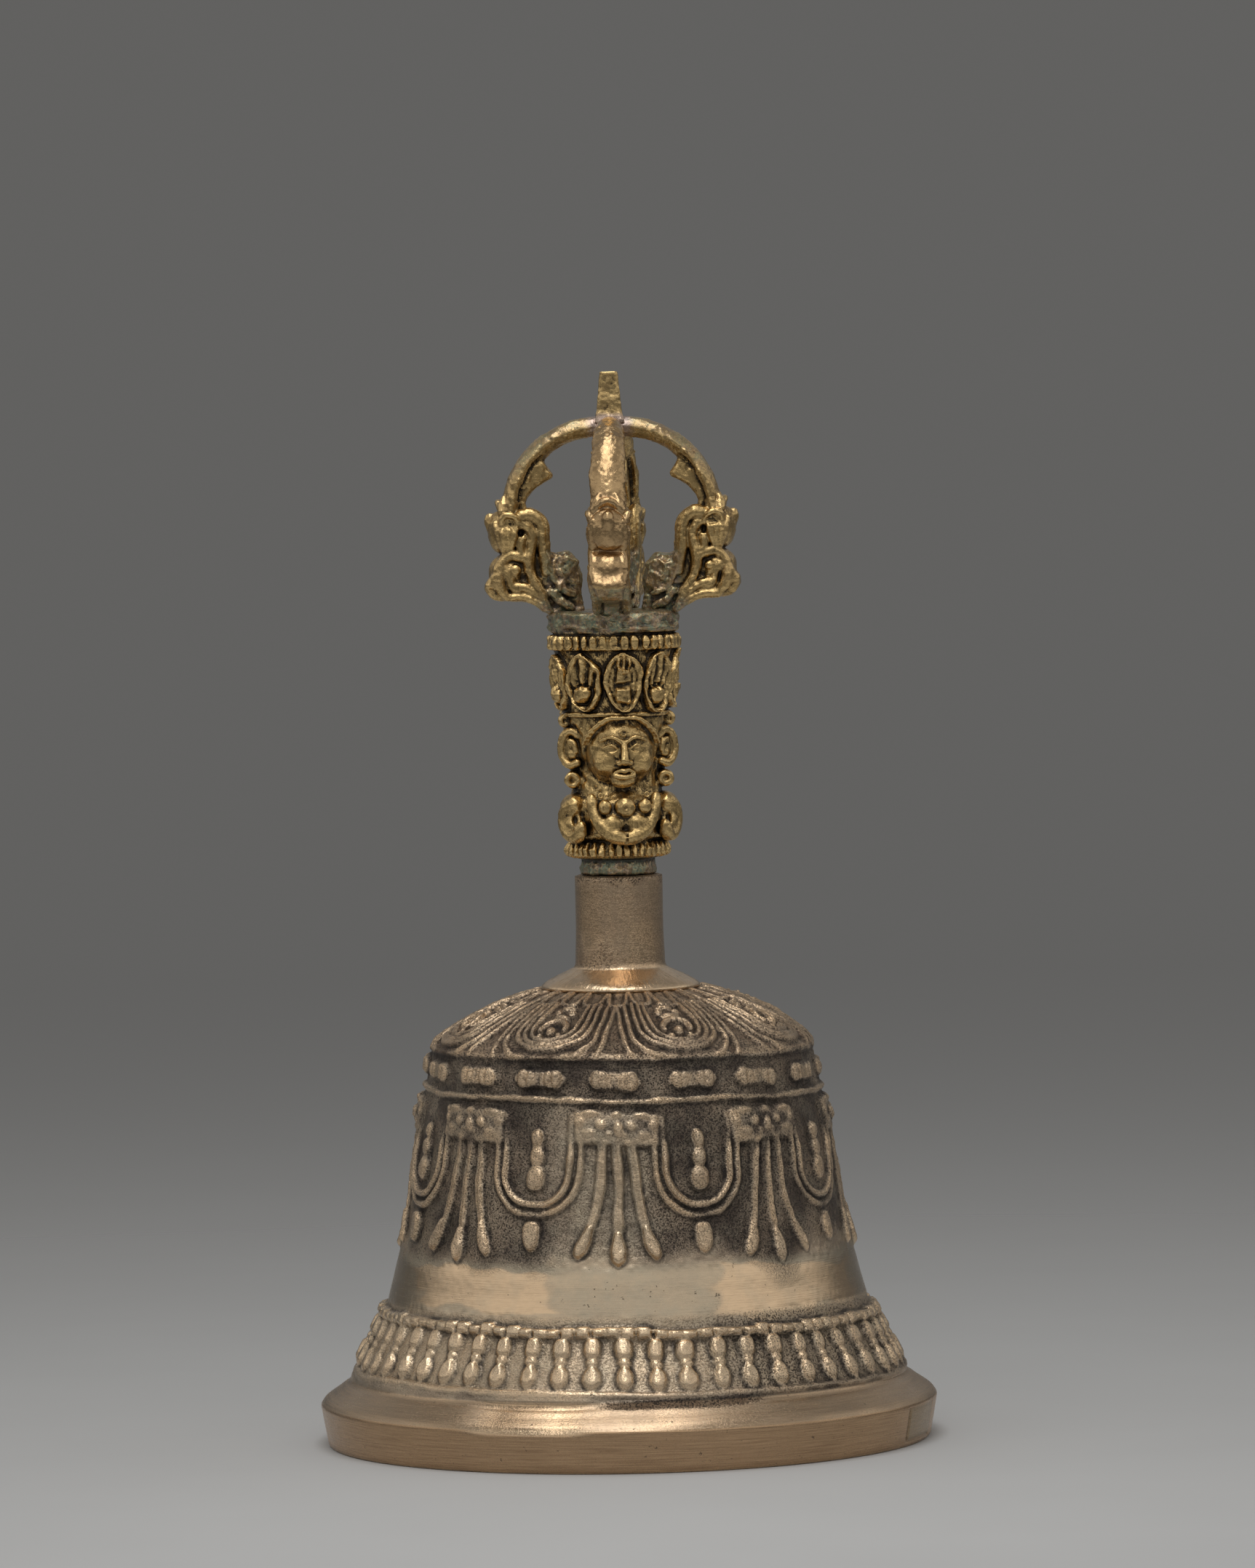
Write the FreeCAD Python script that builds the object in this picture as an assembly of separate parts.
import FreeCAD, Part
import math
import os

os.makedirs("parts", exist_ok=True)

Vector = FreeCAD.Vector

# Hand bell with a half vajra on its handle. Millimetres, +Z up.
# The origin is on the table under the centre of the mouth, and the face looks along -Y.

# Shared values
overrun = 1.0            # how far a cut runs past what it cuts
full_turn = 360.0        # degrees
half_turn = 180.0        # degrees

# Bell, from the table up
mouth_radius = 48.0
lip_height = 6.35
lip_lean = 1.1           # how far the lip draws in towards the table
lip_wall = 4.2
cove_height = 3.9
cove_depth = 4.0
moulding_height = 1.0
moulding_bead = 0.6      # radius of the rounded edge over the cove
skirt_height = 50.2
skirt_foot_radius = 43.5
shoulder_radius = 29.5
skirt_wall = 2.1         # under the ornament
ledge_bead = 0.8         # radius of the bead above the foot band
line_bead = 0.5          # radius of the line under the vajra band
shoulder_bead = 0.8
dome_height = 8.4
dome_wall = 2.7
flange_radius = 12.3
flange_edge = 0.9
flange_rise = 2.9
crown_web = 3.6          # thickness between the inside of the bell and the socket
crown_flat_radius = 11.0
neck_root_radius = 7.2
neck_radius = 6.8
neck_length = 14.4
neck_rim = 0.6           # radius of the rounded rim
socket_radius = 4.7

# Skirt outline, as shares of its height and of what it flares
skirt_shares = ((0.0, 0.97), (0.178, 0.6), (0.236, 0.54), (0.375, 0.407), (0.6, 0.243),
                (0.782, 0.143), (0.875, 0.086), (1.0, 0.0))
ledge_row = 1            # the point over the straight foot band, which carries the ledge
line_row = 6             # the point under the straight vajra band, which carries the line
# Dome outline, as shares of its height and of its width from flange to shoulder
dome_shares = ((0.0, 1.0), (0.19, 0.93), (0.4, 0.765), (0.6, 0.57), (0.8, 0.33), (1.0, 0.0))

# Ornament cast on the bell. Its turns are degrees from the front, its heights shares of the
# skirt's, and its places across are shares of half a mask's width.
relief_height = 0.6
relief_root = 0.5        # how deep an ornament reaches into the wall
ornament_turn = -2.4     # to the middle mask
motif_count = 8          # masks, with the loops and petals between them
ridge_width = 1.2
loop_half_width = 5.3    # to the middle of the inner ridge
loop_step = 1.65         # from the inner ridge to the outer one
loop_corner = 3.3        # radius of the inner ridge's corners
loop_foot_share = 0.558
loop_top_shares = (0.835, 0.767)
knot_share = 0.7
knot_length = 9.0
knot_radius = 1.25       # of the lowest, widest knot
knot_sink = 0.6          # how deep the knots' axis lies in the skirt
knot_shares = ((0.16, 1.0), (0.36, 0.4), (0.54, 0.8), (0.72, 0.4), (0.86, 0.7))
drop_half_width = 1.25
drop_half_length = 2.5
loop_drop_share = 0.465
middle_drop_share = 0.429
side_drop_shares = (0.77, 0.45)
strand_width = 1.5
strand_shares = ((0.33, 0.764), (0.41, 0.613), (0.49, 0.553), (0.74, 0.46))
mask_half_width = 6.7
eye_half_width = 1.0
eye_half_length = 1.0
eye_shares = (0.4, 0.8)
brow_shares = ((0.16, 0.785), (0.16, 0.815), (0.7, 0.825), (0.92, 0.81), (0.92, 0.83), (0.7, 0.845),
               (0.2, 0.838))
cheek_shares = ((0.2, 0.775), (0.2, 0.75), (0.45, 0.756), (0.92, 0.75), (0.92, 0.795), (0.5, 0.785))
band_vajra_count = 16
band_lobe = 3.3          # width of one of a small vajra's two lobes
band_lobe_gap = 1.3
band_vajra_share = 0.936
baluster_count = 52
baluster_turn = -0.9
baluster_share = 0.091
baluster_length = 7.9
baluster_radius = 1.25
baluster_sink = 0.25     # how deep its axis lies in the skirt
baluster_shares = ((0.22, 1.0), (0.44, 0.4), (0.52, 0.7), (0.6, 0.4), (0.8, 0.92))
petal_half_width = 5.4   # to the middle of its rim, at its widest
petal_root_half_width = 2.6
petal_root_share = 0.12  # of the way from the flange to the shoulder
petal_side_share = 0.6
petal_tip_share = 0.93
petal_bud_half_width = 1.7
petal_bud_shares = ((0.35, 0.0), (0.55, 0.6), (0.7, 1.0), (0.82, 0.0), (0.7, -1.0), (0.55, -0.6))

# Handle, from the neck up
collar_radius = 5.6
collar_height = 2.6
lower_ring_radius = 8.0
lower_ring_height = 3.0
ring_root = 1.3          # how far a ring's edges lie under its crest
chest_radius = 8.7
chest_height = 7.6
waist_radius = 7.6
head_radius = 7.3
head_height = 12.0
crown_foot_radius = 8.6
crown_top_radius = 9.5
crown_height = 9.2
upper_ring_radius = 10.5
upper_ring_height = 3.2
platform_radius = 10.0
platform_height = 3.5
platform_edge = 0.6      # radius of its rounded top edge
chest_crest_share = 0.42
head_pinch_share = 0.3

# Figure on the handle
face_half_width = 4.9
face_half_height = 5.4
face_half_depth = 4.6
face_front = 9.1         # how far the face stands out from the axis
nose_half_width = 0.9
nose_half_height = 1.7
nose_half_depth = 1.2
leaf_count = 5
leaf_step = 38.0         # degrees from one crown leaf to the next
leaf_width = 6.2
leaf_height = 8.4
leaf_proud = 0.9
leaf_boss = 1.15
leaf_boss_share = 0.3    # height of the boss on its leaf
ear_radius = 1.9
ear_wire = 0.7
ear_side = 7.6           # from the axis to the middle of an ear
ear_height_share = 0.53
ear_bead = 1.05
ear_bead_shares = (0.13, 0.92)
chest_boss = 1.35
chest_boss_share = 0.66
chest_boss_step = 25.0   # degrees
arm_half_width = 2.2
arm_half_height = 3.4
arm_half_depth = 1.6
arm_side = 75.0          # degrees from the front to a folded arm
apron_half_width = 3.8
apron_half_height = 2.4
apron_half_depth = 1.2
apron_share = 0.3

# Vajra prongs, above the platform
prong_reach = 20.0
prong_rise = 30.0
prong_width = 5.9
bow_centre_radius = 2.0  # the bow's centre, from the axis
bow_centre_height = 15.0
bow_radius = 13.5
bow_thickness = 2.9
bow_foot_angle = 2.0     # degrees above level, where the bow leaves the leaves
hub_width = 4.8
hub_height = 3.4
centre_prong_width = 3.2
spike_length = 7.0
spike_foot_width = 4.2
spike_tip_width = 2.9

# Prong outlines, as shares of its reach or width, and of its rise
snout_shares = ((0.5, 0.0), (0.575, 0.04), (0.77, 0.06), (0.93, 0.068), (1.0, 0.135),
                (0.965, 0.2), (0.862, 0.29))
flame_shares = ((0.862, 0.29), (0.965, 0.4), (0.985, 0.477), (0.92, 0.545), (0.865, 0.6))
ruff_shares = ((0.63, 0.515), (0.54, 0.482), (0.5, 0.42), (0.5, 0.337), (0.42, 0.3),
               (0.343, 0.3), (0.275, 0.244), (0.247, 0.137), (0.22, 0.0))
spur_shares = ((0.59, 0.752), (0.456, 0.713), (0.6, 0.65), (0.66, 0.6), (0.72, 0.68))
edge_shares = ((0.36, 0.0), (0.37, 0.13), (0.48, 0.16), (0.49, 0.29), (0.4, 0.335),
               (0.5, 0.43), (0.5, 0.56), (0.45, 0.7), (0.43, 0.9), (0.38, 1.0))

# Tang and the resin that holds it
tang_radius = 2.5
tang_in_handle = 17.0
tang_in_socket = 13.8
tang_clearance = 0.1
lac_below_rim = 0.6

# Clapper, its staple and its link
wire_radius = 0.9
staple_bend = 2.8        # radius of its loop, to the middle of the wire
staple_drop = 6.0        # from the crown to the middle of its lowest wire
clench_bend = 1.0
clench_length = 0.4
leg_clearance = 0.1
link_clearance = 0.3     # between a wire and the wire that hangs on it
link_radius = 3.6
eye_radius = 2.6
shank_top_radius = 1.4
shank_foot_radius = 1.9
bulb_radius = 5.2
bulb_height = 12.5
clapper_length = 45.0    # from the link's lowest wire to the middle of the bulb
bulb_shares = ((0.37, -0.5), (0.85, -0.36), (1.0, -0.08), (0.8, 0.24), (0.42, 0.44))

# Heights worked out from the sizes above
cove_top = lip_height + cove_height
skirt_foot = cove_top + moulding_height
shoulder = skirt_foot + skirt_height
dome_top = shoulder + dome_height
flange_top = dome_top + flange_edge
neck_root = flange_top + flange_rise
neck_top = neck_root + neck_length
socket_floor = dome_top + flange_edge / 2
crown_under = socket_floor - crown_web
lower_ring_foot = neck_top + collar_height
chest_foot = lower_ring_foot + lower_ring_height
head_foot = chest_foot + chest_height
crown_foot = head_foot + head_height
upper_ring_foot = crown_foot + crown_height
platform_foot = upper_ring_foot + upper_ring_height
platform_top = platform_foot + platform_height
hub_top = platform_top + prong_rise
staple_bar = crown_under - staple_drop
link_centre = staple_bar + 2 * wire_radius + link_clearance - link_radius
link_bar = link_centre - link_radius
eye_centre = link_bar + 2 * wire_radius + link_clearance - eye_radius
bulb_centre = link_bar - clapper_length


def at(radius, height):
    return Vector(radius, 0, height)


def line(start, end):
    return Part.LineSegment(start, end).toShape()


def arc(start, middle, end):
    return Part.Arc(start, middle, end).toShape()


def curve(points):
    spline = Part.BSplineCurve()
    spline.interpolate(points)
    return spline.toShape()


def face_of(edges):
    return Part.Face(Part.Wire(Part.__sortEdges__(edges)))


def turned(edges):
    return face_of(edges).revolve(Vector(0, 0, 0), Vector(0, 0, 1), full_turn)


def ring(radius, thickness, centre, axis):
    return Part.makeTorus(radius, thickness, centre, axis)


def ellipsoid(half_sizes, centre):
    scale = FreeCAD.Matrix()
    scale.scale(*half_sizes)
    ball = Part.makeSphere(1).transformGeometry(scale)
    ball.translate(centre)
    return ball


def turn(shape, degrees):
    copy = shape.copy()
    copy.rotate(Vector(0, 0, 0), Vector(0, 0, 1), degrees)
    return copy


def skirt_radius(share, wall):
    return shoulder_radius + (skirt_foot_radius - shoulder_radius) * share - wall


def skirt_level(share):
    return skirt_foot + skirt_height * share


def skirt_points(wall):
    return [at(skirt_radius(flare, wall), skirt_level(rise)) for rise, flare in skirt_shares]


def skirt_edges(points):
    return [line(points[0], points[ledge_row]), curve(points[ledge_row:line_row + 1]),
            line(points[line_row], points[-1])]


def dome_points(drop, wall):
    inner = flange_radius
    span = shoulder_radius - wall - inner
    return [at(inner + span * width, shoulder - drop + dome_height * rise)
            for rise, width in dome_shares]


def bell_outside():
    skirt = skirt_points(0)
    dome = dome_points(0, 0)
    lip_foot = at(mouth_radius - lip_lean, 0)
    lip_top = at(mouth_radius, lip_height)
    cove_end = at(mouth_radius - cove_depth, cove_top)
    flange_corner = at(flange_radius, flange_top)
    root = at(neck_root_radius, neck_root)
    rim_side = at(neck_radius, neck_top - neck_rim)
    rim_top = at(neck_radius - neck_rim, neck_top)
    bow = neck_rim * math.sin(math.radians(half_turn / 4))
    rim_middle = at(neck_radius - neck_rim + bow, neck_top - neck_rim + bow)
    return [
        line(lip_foot, lip_top), line(lip_top, cove_end), line(cove_end, skirt[0]),
        *skirt_edges(skirt), curve(dome), line(dome[-1], flange_corner),
        line(flange_corner, root), line(root, rim_side), arc(rim_side, rim_middle, rim_top),
        line(rim_top, at(socket_radius, neck_top)),
        line(at(socket_radius, neck_top), at(socket_radius, socket_floor)),
        line(at(socket_radius, socket_floor), at(0, socket_floor)),
    ]


def bell_inside():
    skirt = skirt_points(skirt_wall)
    dome = dome_points(dome_wall, skirt_wall)[1:-1]
    crown_edge = at(crown_flat_radius, crown_under)
    mouth = at(mouth_radius - lip_lean - lip_wall, 0)
    return [
        line(at(0, socket_floor), at(0, crown_under)), line(at(0, crown_under), crown_edge),
        curve([crown_edge] + dome[::-1] + [skirt[-2]]), curve(skirt[-2::-1]),
        line(skirt[0], mouth), line(mouth, at(mouth_radius - lip_lean, 0)),
    ]


def bell_bead(row, thickness):
    rise, flare = skirt_shares[row]
    return ring(skirt_radius(flare, 0), thickness, at(0, skirt_level(rise)), Vector(0, 0, 1))


def flare_at(share):
    for (low, wide), (high, narrow) in zip(skirt_shares, skirt_shares[1:]):
        if low <= share <= high:
            return wide + (narrow - wide) * (share - low) / (high - low)


def skirt_layer(height):
    outer = skirt_points(-height)
    inner = skirt_points(relief_root)
    return turned(skirt_edges(outer) + skirt_edges(inner) +
                  [line(outer[0], inner[0]), line(outer[-1], inner[-1])])


def dome_layer(height):
    outer = dome_points(-height, 0)
    inner = dome_points(relief_root, 0)
    return turned([curve(outer), curve(inner), line(outer[0], inner[0]),
                   line(outer[-1], inner[-1])])


def outward(face):
    return face.extrude(Vector(0, -skirt_foot_radius - overrun, 0))


def plate(points):
    return outward(Part.Face(Part.makePolygon(points + points[:1])))


def bar(half_width, foot, top):
    return plate([at(-half_width, foot), at(half_width, foot), at(half_width, top),
                  at(-half_width, top)])


def lens(half_width, half_length):
    edges = [arc(at(0, -half_length), at(half_width, 0), at(0, half_length)),
             line(at(0, half_length), at(0, -half_length))]
    return turned(edges)


def along_skirt(shape, across, share, sink):
    step = drop_half_length / skirt_height
    low = skirt_radius(flare_at(share - step), 0)
    high = skirt_radius(flare_at(share + step), 0)
    surface = (low + high) / 2
    lean = math.degrees(math.atan2(low - high, 2 * drop_half_length))
    copy = shape.copy()
    copy.rotate(Vector(0, 0, 0), Vector(1, 0, 0), -lean)
    copy.translate(Vector(0, sink - surface, skirt_level(share)))
    return turn(copy, math.degrees(across / surface))


def skirt_drop(across, share):
    drop = lens(drop_half_width, drop_half_length)
    return along_skirt(drop, across, share, drop_half_width - relief_height)


def tongue(half_width, foot, top, corner):
    bow = corner * (1 - math.sin(math.radians(half_turn / 4)))
    edges = [line(at(corner - half_width, foot), at(half_width - corner, foot)),
             line(at(-half_width, top), at(half_width, top))]
    for side in (-1, 1):
        heel = at(side * (half_width - corner), foot)
        middle = at(side * (half_width - bow), foot + bow)
        arm = at(side * half_width, foot + corner)
        edges += [arc(heel, middle, arm), line(arm, at(side * half_width, top))]
    return outward(face_of(edges))


def loop_parts():
    layer = skirt_layer(relief_height)
    parts = []
    for number, top_share in enumerate(loop_top_shares):
        step = number * loop_step
        middle = skirt_level(loop_foot_share) - step
        top = skirt_level(top_share)
        half = ridge_width / 2
        outer = tongue(loop_half_width + step + half, middle - half, top,
                       loop_corner + step + half)
        inner = tongue(loop_half_width + step - half, middle + half, top + overrun,
                       loop_corner + step - half)
        parts.append(outer.cut(inner).common(layer))
    knots = spindle(knot_radius, knot_length, knot_shares)
    parts.append(along_skirt(knots, 0, knot_share, knot_sink))
    parts.append(skirt_drop(0, loop_drop_share))
    return parts


def strand_parts():
    layer = skirt_layer(relief_height)
    half = strand_width / 2
    points = [at(mask_half_width * across, skirt_level(share)) for across, share in strand_shares]
    left = [point - at(half, 0) for point in points]
    right = [point + at(half, 0) for point in points]
    parts = [bar(half, skirt_level(middle_drop_share), points[0].z).common(layer),
             skirt_drop(0, middle_drop_share)]
    strand = plate(left + right[::-1]).common(layer)
    across, share = side_drop_shares
    for side in (-1, 1):
        parts.append(strand if side > 0 else strand.mirror(Vector(0, 0, 0), Vector(1, 0, 0)))
        parts.append(skirt_drop(side * mask_half_width * across, share))
    return parts


def mirrored(points):
    return [at(-point.x, point.z) for point in points[::-1]]


def mask_parts():
    layer = skirt_layer(relief_height)
    brow = [at(mask_half_width * across, skirt_level(share)) for across, share in brow_shares]
    cheek = [at(mask_half_width * across, skirt_level(share)) for across, share in cheek_shares]
    parts = [plate(brow + mirrored(brow)), plate(cheek), plate(mirrored(cheek))]
    parts = [part.common(layer) for part in parts]
    across, share = eye_shares
    eye = lens(eye_half_width, eye_half_length)
    for side in (-1, 1):
        parts.append(along_skirt(eye, side * mask_half_width * across, share,
                                 eye_half_width - relief_height))
    return parts


def band_vajra():
    middle = skirt_level(band_vajra_share)
    half_height = band_lobe / 2
    half_gap = band_lobe_gap / 2
    full = bar(half_gap + band_lobe, middle - half_height, middle + half_height)
    notch = band_lobe_gap
    waist = bar(half_gap, middle - half_gap, middle + half_gap)
    gap = bar(half_gap, middle - notch - half_height, middle + notch + half_height)
    return full.cut(gap).fuse(waist).common(skirt_layer(relief_height))


def spindle(radius, length, shares):
    low, first, middle, second, high = [at(radius * wide, length * (rise - 1 / 2))
                                        for rise, wide in shares]
    foot = at(0, -length / 2)
    top = at(0, length / 2)
    return turned([arc(foot, low, first), arc(first, middle, second), arc(second, high, top),
                   line(top, foot)])


def baluster():
    shape = spindle(baluster_radius, baluster_length, baluster_shares)
    return along_skirt(shape, 0, baluster_share, baluster_sink)


def petal_face(grow, reach):
    span = shoulder_radius - flange_radius
    root = flange_radius + span * petal_root_share - reach
    side = flange_radius + span * petal_side_share
    tip = flange_radius + span * petal_tip_share + grow
    corners = [Vector(-petal_root_half_width - grow, -root, shoulder),
               Vector(-petal_half_width - grow, -side, shoulder),
               Vector(petal_half_width + grow, -side, shoulder),
               Vector(petal_root_half_width + grow, -root, shoulder)]
    return face_of([line(corners[0], corners[1]),
                    arc(corners[1], Vector(0, -tip, shoulder), corners[2]),
                    line(corners[2], corners[3]), line(corners[3], corners[0])])


def dome_parts():
    up = Vector(0, 0, dome_height + overrun)
    layer = dome_layer(relief_height)
    half = ridge_width / 2
    outer = petal_face(half, 0).extrude(up)
    inner = petal_face(-half, overrun).extrude(up)
    span = shoulder_radius - flange_radius
    bud = [Vector(petal_bud_half_width * wide, -flange_radius - span * share, shoulder)
           for share, wide in petal_bud_shares]
    bud = Part.Face(Part.makePolygon(bud + bud[:1])).extrude(up)
    return [part.common(layer) for part in (outer.cut(inner), bud)]


def around(parts, count, start):
    return [turn(part, start + number * full_turn / count)
            for number in range(count) for part in parts]


def bell_ornament():
    half_step = full_turn / motif_count / 2
    loop_turn = ornament_turn + half_step
    return [
        around([baluster()], baluster_count, baluster_turn),
        around([band_vajra()], band_vajra_count, ornament_turn),
        around(dome_parts(), motif_count, loop_turn),
        around(loop_parts(), motif_count, loop_turn),
        around(strand_parts(), motif_count, ornament_turn),
        around(mask_parts(), motif_count, ornament_turn),
    ]


def staple_leg_hole(side):
    height = socket_floor - crown_under + 2 * overrun
    place = Vector(side * staple_bend, 0, crown_under - overrun)
    return Part.makeCylinder(wire_radius + leg_clearance, height, place)


def bell_body():
    body = turned(bell_outside() + bell_inside())
    moulding = ring(skirt_foot_radius, moulding_bead, at(0, skirt_foot - moulding_bead),
                    Vector(0, 0, 1))
    edge = ring(shoulder_radius - shoulder_bead / 2, shoulder_bead, at(0, shoulder),
                Vector(0, 0, 1))
    body = body.fuse([moulding, edge, bell_bead(ledge_row, ledge_bead),
                      bell_bead(line_row, line_bead)])
    for parts in bell_ornament():
        body = body.fuse(parts)
    return body.cut([staple_leg_hole(-1), staple_leg_hole(1)])


def handle_outline():
    lower_root = lower_ring_radius - ring_root
    upper_root = upper_ring_radius - ring_root
    chest_crest = chest_foot + chest_height * chest_crest_share
    head_pinch = head_foot + head_height * head_pinch_share
    edge_low = at(platform_radius, platform_top - platform_edge)
    edge_top = at(platform_radius - platform_edge, platform_top)
    bow = platform_edge * math.sin(math.radians(half_turn / 4))
    edge_middle = at(edge_top.x + bow, edge_low.z + bow)
    return [
        line(at(0, neck_top), at(collar_radius, neck_top)),
        line(at(collar_radius, neck_top), at(collar_radius, lower_ring_foot)),
        line(at(collar_radius, lower_ring_foot), at(lower_root, lower_ring_foot)),
        arc(at(lower_root, lower_ring_foot),
            at(lower_ring_radius, lower_ring_foot + lower_ring_height / 2),
            at(lower_root, chest_foot)),
        curve([at(lower_root, chest_foot), at(chest_radius, chest_crest),
               at(waist_radius, head_foot)]),
        curve([at(waist_radius, head_foot), at(head_radius, head_pinch),
               at(crown_foot_radius, crown_foot)]),
        line(at(crown_foot_radius, crown_foot), at(crown_top_radius, upper_ring_foot)),
        line(at(crown_top_radius, upper_ring_foot), at(upper_root, upper_ring_foot)),
        arc(at(upper_root, upper_ring_foot),
            at(upper_ring_radius, upper_ring_foot + upper_ring_height / 2),
            at(upper_root, platform_foot)),
        line(at(upper_root, platform_foot), at(platform_radius, platform_foot)),
        line(at(platform_radius, platform_foot), edge_low),
        arc(edge_low, edge_middle, edge_top),
        line(edge_top, at(0, platform_top)), line(at(0, platform_top), at(0, neck_top)),
    ]


def crown_leaf():
    middle = crown_foot + crown_height / 2
    half = leaf_height / 2
    foot = Vector(0, 0, middle - half)
    tip = Vector(0, 0, middle + half)
    left = Vector(-leaf_width / 2, 0, middle)
    right = Vector(leaf_width / 2, 0, middle)
    outline = face_of([arc(foot, left, tip), line(tip, foot)])
    other = face_of([arc(foot, right, tip), line(tip, foot)])
    out = Vector(0, -crown_top_radius - leaf_proud - overrun, 0)
    blade = outline.extrude(out).fuse(other.extrude(out))
    shell = Part.makeCone(crown_foot_radius + leaf_proud, crown_top_radius + leaf_proud,
                          crown_height, at(0, crown_foot))
    blade = blade.common(shell)
    boss_height = middle - half + leaf_height * leaf_boss_share
    boss = Part.makeSphere(leaf_boss, Vector(0, -crown_foot_radius - leaf_proud, boss_height))
    return blade.fuse(boss)


def crown_leaves():
    middle_leaf = (leaf_count - 1) / 2
    return [turn(crown_leaf(), (number - middle_leaf) * leaf_step) for number in range(leaf_count)]


def head_parts():
    middle = head_foot + head_height / 2
    face = ellipsoid((face_half_width, face_half_depth, face_half_height),
                     Vector(0, face_half_depth - face_front, middle))
    nose = ellipsoid((nose_half_width, nose_half_depth, nose_half_height),
                     Vector(0, -face_front, middle))
    parts = [face, nose]
    for side in (-1, 1):
        ear = Vector(side * ear_side, 0, head_foot + head_height * ear_height_share)
        parts.append(ring(ear_radius, ear_wire, ear, Vector(0, 1, 0)))
        for share in ear_bead_shares:
            bead = Vector(side * ear_side, 0, head_foot + head_height * share)
            parts.append(Part.makeSphere(ear_bead, bead))
    return parts


def chest_parts():
    boss_place = Vector(0, -chest_radius, chest_foot + chest_height * chest_boss_share)
    boss = Part.makeSphere(chest_boss, boss_place)
    parts = [turn(boss, step * chest_boss_step) for step in (-1, 0, 1)]
    arm = ellipsoid((arm_half_width, arm_half_depth, arm_half_height),
                    Vector(0, arm_half_depth / 2 - chest_radius, chest_foot + chest_height / 2))
    parts += [turn(arm, side * arm_side) for side in (-1, 1)]
    apron_height = chest_foot + chest_height * apron_share
    parts.append(ellipsoid((apron_half_width, apron_half_depth, apron_half_height),
                           Vector(0, apron_half_depth / 2 - chest_radius, apron_height)))
    return parts


def handle_casting():
    body = turned(handle_outline())
    body = body.fuse(crown_leaves() + head_parts() + chest_parts())
    bore = Part.makeCylinder(tang_radius + tang_clearance,
                             tang_in_handle + tang_clearance + overrun, at(0, neck_top - overrun))
    return body.cut(bore)


def prong_point(shares):
    return at(prong_reach * shares[0], platform_top + prong_rise * shares[1])


def bow_point(radius, degrees):
    angle = math.radians(degrees)
    return at(bow_centre_radius + radius * math.cos(angle),
              platform_top + bow_centre_height + radius * math.sin(angle))


def bow_face():
    outer = bow_radius + bow_thickness / 2
    inner = bow_radius - bow_thickness / 2
    top = half_turn / 2
    middle = (top + bow_foot_angle) / 2
    return face_of([
        arc(bow_point(outer, bow_foot_angle), bow_point(outer, middle), bow_point(outer, top)),
        line(bow_point(outer, top), bow_point(inner, top)),
        arc(bow_point(inner, top), bow_point(inner, middle), bow_point(inner, bow_foot_angle)),
        line(bow_point(inner, bow_foot_angle), bow_point(outer, bow_foot_angle)),
    ])


def makara_face():
    snout = [prong_point(shares) for shares in snout_shares]
    flame = [prong_point(shares) for shares in flame_shares]
    ruff = [prong_point(shares) for shares in ruff_shares]
    return face_of([curve(snout), curve(flame), line(flame[-1], ruff[0]), curve(ruff),
                    line(ruff[-1], snout[0])])


def spur_face():
    points = [prong_point(shares) for shares in spur_shares]
    return Part.Face(Part.makePolygon(points + points[:1]))


def prong_side():
    width = Vector(0, prong_width + 2 * overrun, 0)
    side = bow_face().extrude(width)
    side = side.fuse([makara_face().extrude(width), spur_face().extrude(width)])
    side.translate(-width / 2)
    return side


def prong_edge():
    right = [Vector(0, prong_width * half, platform_top + prong_rise * rise)
             for half, rise in edge_shares]
    left = [Vector(0, -point.y, point.z) for point in right]
    outline = Part.Face(Part.makePolygon(right + left[::-1] + right[:1]))
    outline.translate(Vector(hub_width / 2, 0, 0))
    return outline.extrude(Vector(prong_reach, 0, 0))


def vajra_prong(degrees):
    return turn(prong_side().common(prong_edge()).removeSplitter(), degrees)


def square(width, height):
    half = width / 2
    corners = [Vector(-half, -half, height), Vector(half, -half, height),
               Vector(half, half, height), Vector(-half, half, height)]
    return Part.makePolygon(corners + corners[:1])


def vajra_centre_prong():
    half = centre_prong_width / 2
    shaft = Part.makeBox(centre_prong_width, centre_prong_width, prong_rise,
                         Vector(-half, -half, platform_top))
    hub = Part.makeBox(hub_width, hub_width, hub_height,
                       Vector(-hub_width / 2, -hub_width / 2, hub_top - hub_height))
    spike = Part.makeLoft([square(spike_foot_width, hub_top),
                           square(spike_tip_width, hub_top + spike_length)], True, True)
    return shaft.fuse([hub, spike]).removeSplitter()


def handle_tang():
    return Part.makeCylinder(tang_radius, tang_in_socket + tang_in_handle,
                             at(0, neck_top - tang_in_socket))


def lac_filling():
    plug = Part.makeCylinder(socket_radius, neck_top - lac_below_rim - socket_floor,
                             at(0, socket_floor))
    return plug.cut([handle_tang(), clapper_staple()])


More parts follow.
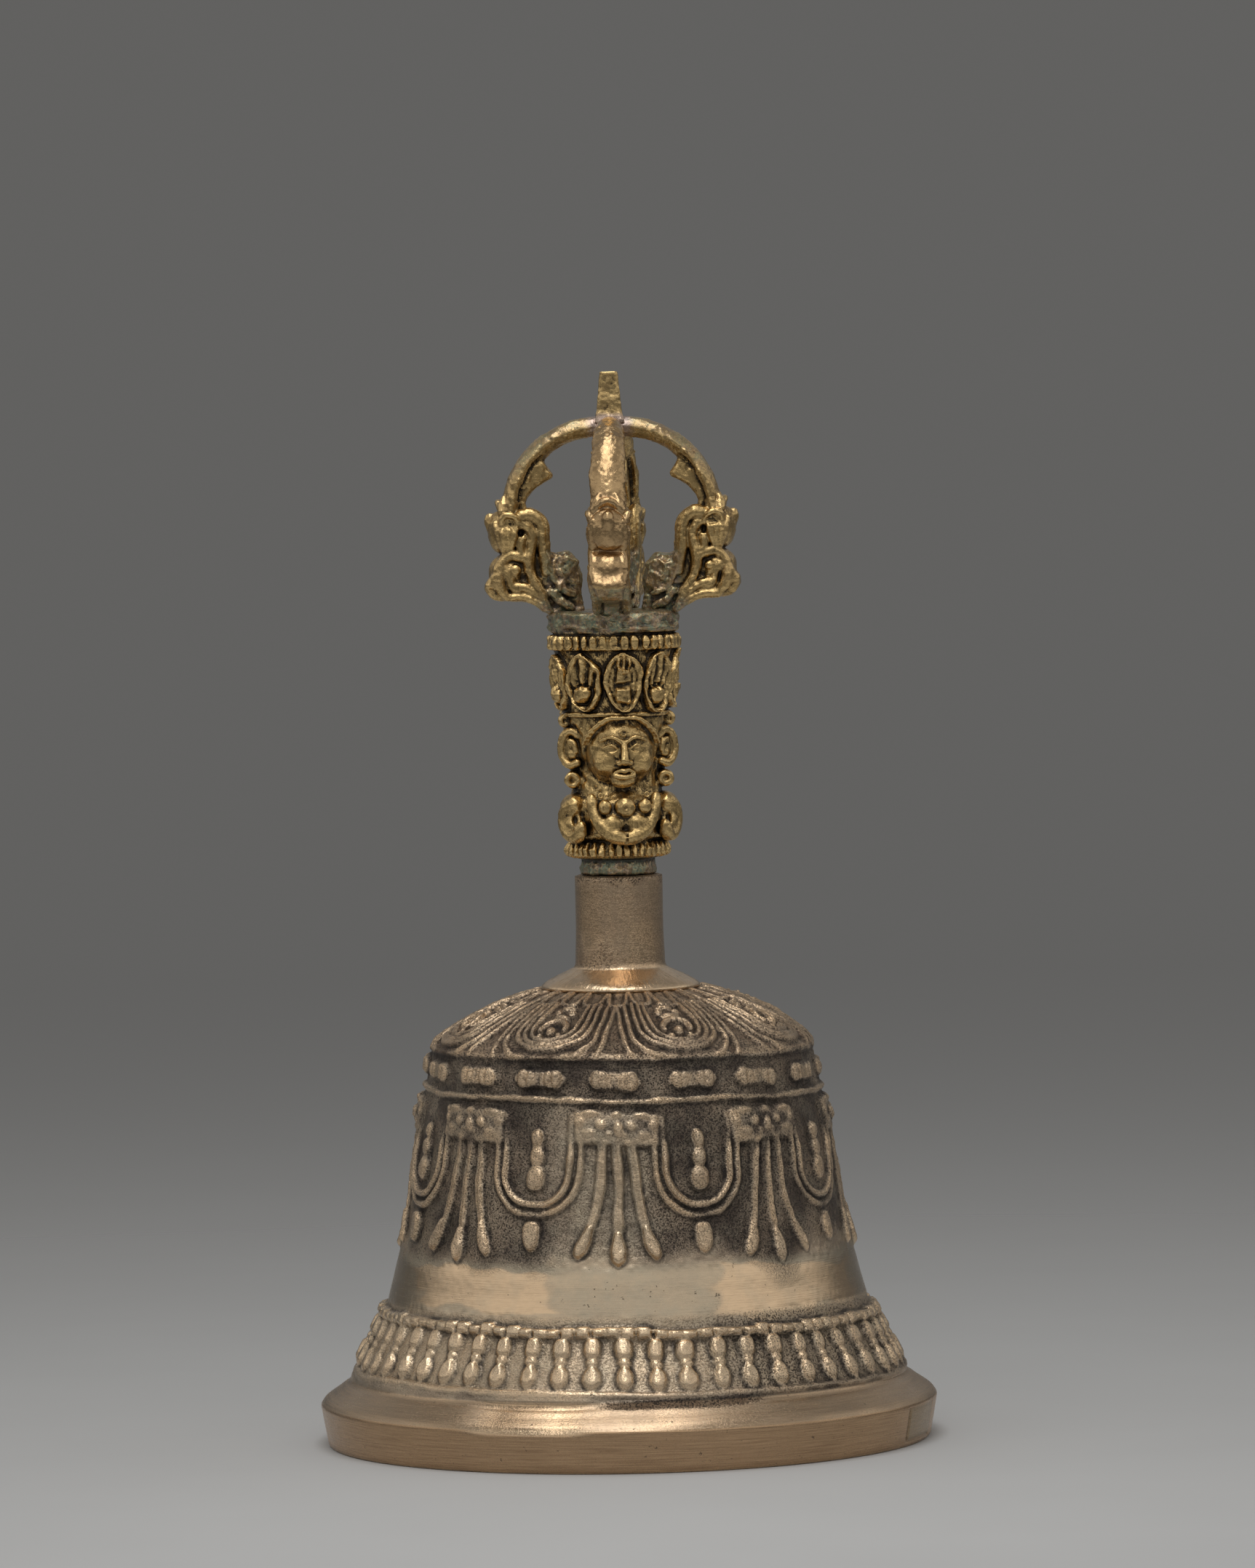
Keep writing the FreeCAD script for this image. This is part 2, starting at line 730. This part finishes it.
def clapper_staple():
    loop_top = staple_bar + staple_bend
    bow = staple_bend * math.sin(math.radians(half_turn / 4))
    clench = clench_bend * math.sin(math.radians(half_turn / 4))
    clench_top = socket_floor + clench_bend
    path = [arc(at(-staple_bend, loop_top), at(0, staple_bar), at(staple_bend, loop_top))]
    for side in (-1, 1):
        leg = at(side * staple_bend, socket_floor)
        turn_end = at(side * (staple_bend + clench_bend), clench_top)
        turn_middle = at(side * (staple_bend + clench_bend - clench), socket_floor + clench)
        tip = at(side * (staple_bend + clench_bend + clench_length), clench_top)
        path += [line(at(side * staple_bend, loop_top), leg), arc(leg, turn_middle, turn_end),
                 line(turn_end, tip)]
    spine = Part.Wire(Part.__sortEdges__(path))
    start = at(-staple_bend - clench_bend - clench_length, clench_top)
    section = Part.Wire(Part.Circle(start, Vector(1, 0, 0), wire_radius).toShape())
    return spine.makePipeShell([section], True, False)


def clapper_ring():
    return ring(link_radius, wire_radius, at(0, link_centre), Vector(1, 0, 0))


def clapper():
    eye = ring(eye_radius, wire_radius, at(0, eye_centre), Vector(0, 1, 0))
    bulb = [at(bulb_radius * radius, bulb_centre + bulb_height * rise)
            for radius, rise in bulb_shares]
    shank_top = at(shank_top_radius, eye_centre - eye_radius)
    shank_foot = at(shank_foot_radius, bulb[-1].z)
    rod = turned([
        line(at(0, bulb[0].z), bulb[0]), curve(bulb), line(bulb[-1], shank_foot),
        line(shank_foot, shank_top), line(shank_top, at(0, shank_top.z)),
        line(at(0, shank_top.z), at(0, bulb[0].z)),
    ])
    return eye.fuse(rod).removeSplitter()


pieces = {
    "bell_body": bell_body(),
    "handle_casting": handle_casting(),
    "handle_tang": handle_tang(),
    "lac_filling": lac_filling(),
    "vajra_centre_prong": vajra_centre_prong(),
    "vajra_prong_right": vajra_prong(0),
    "vajra_prong_back": vajra_prong(half_turn / 2),
    "vajra_prong_left": vajra_prong(half_turn),
    "vajra_prong_front": vajra_prong(-half_turn / 2),
    "clapper_staple": clapper_staple(),
    "clapper_ring": clapper_ring(),
    "clapper": clapper(),
}

for name, shape in pieces.items():
    shape.exportStep("parts/" + name + ".step")
    print(name, len(shape.Solids), shape.isValid(), round(shape.Volume, 1))
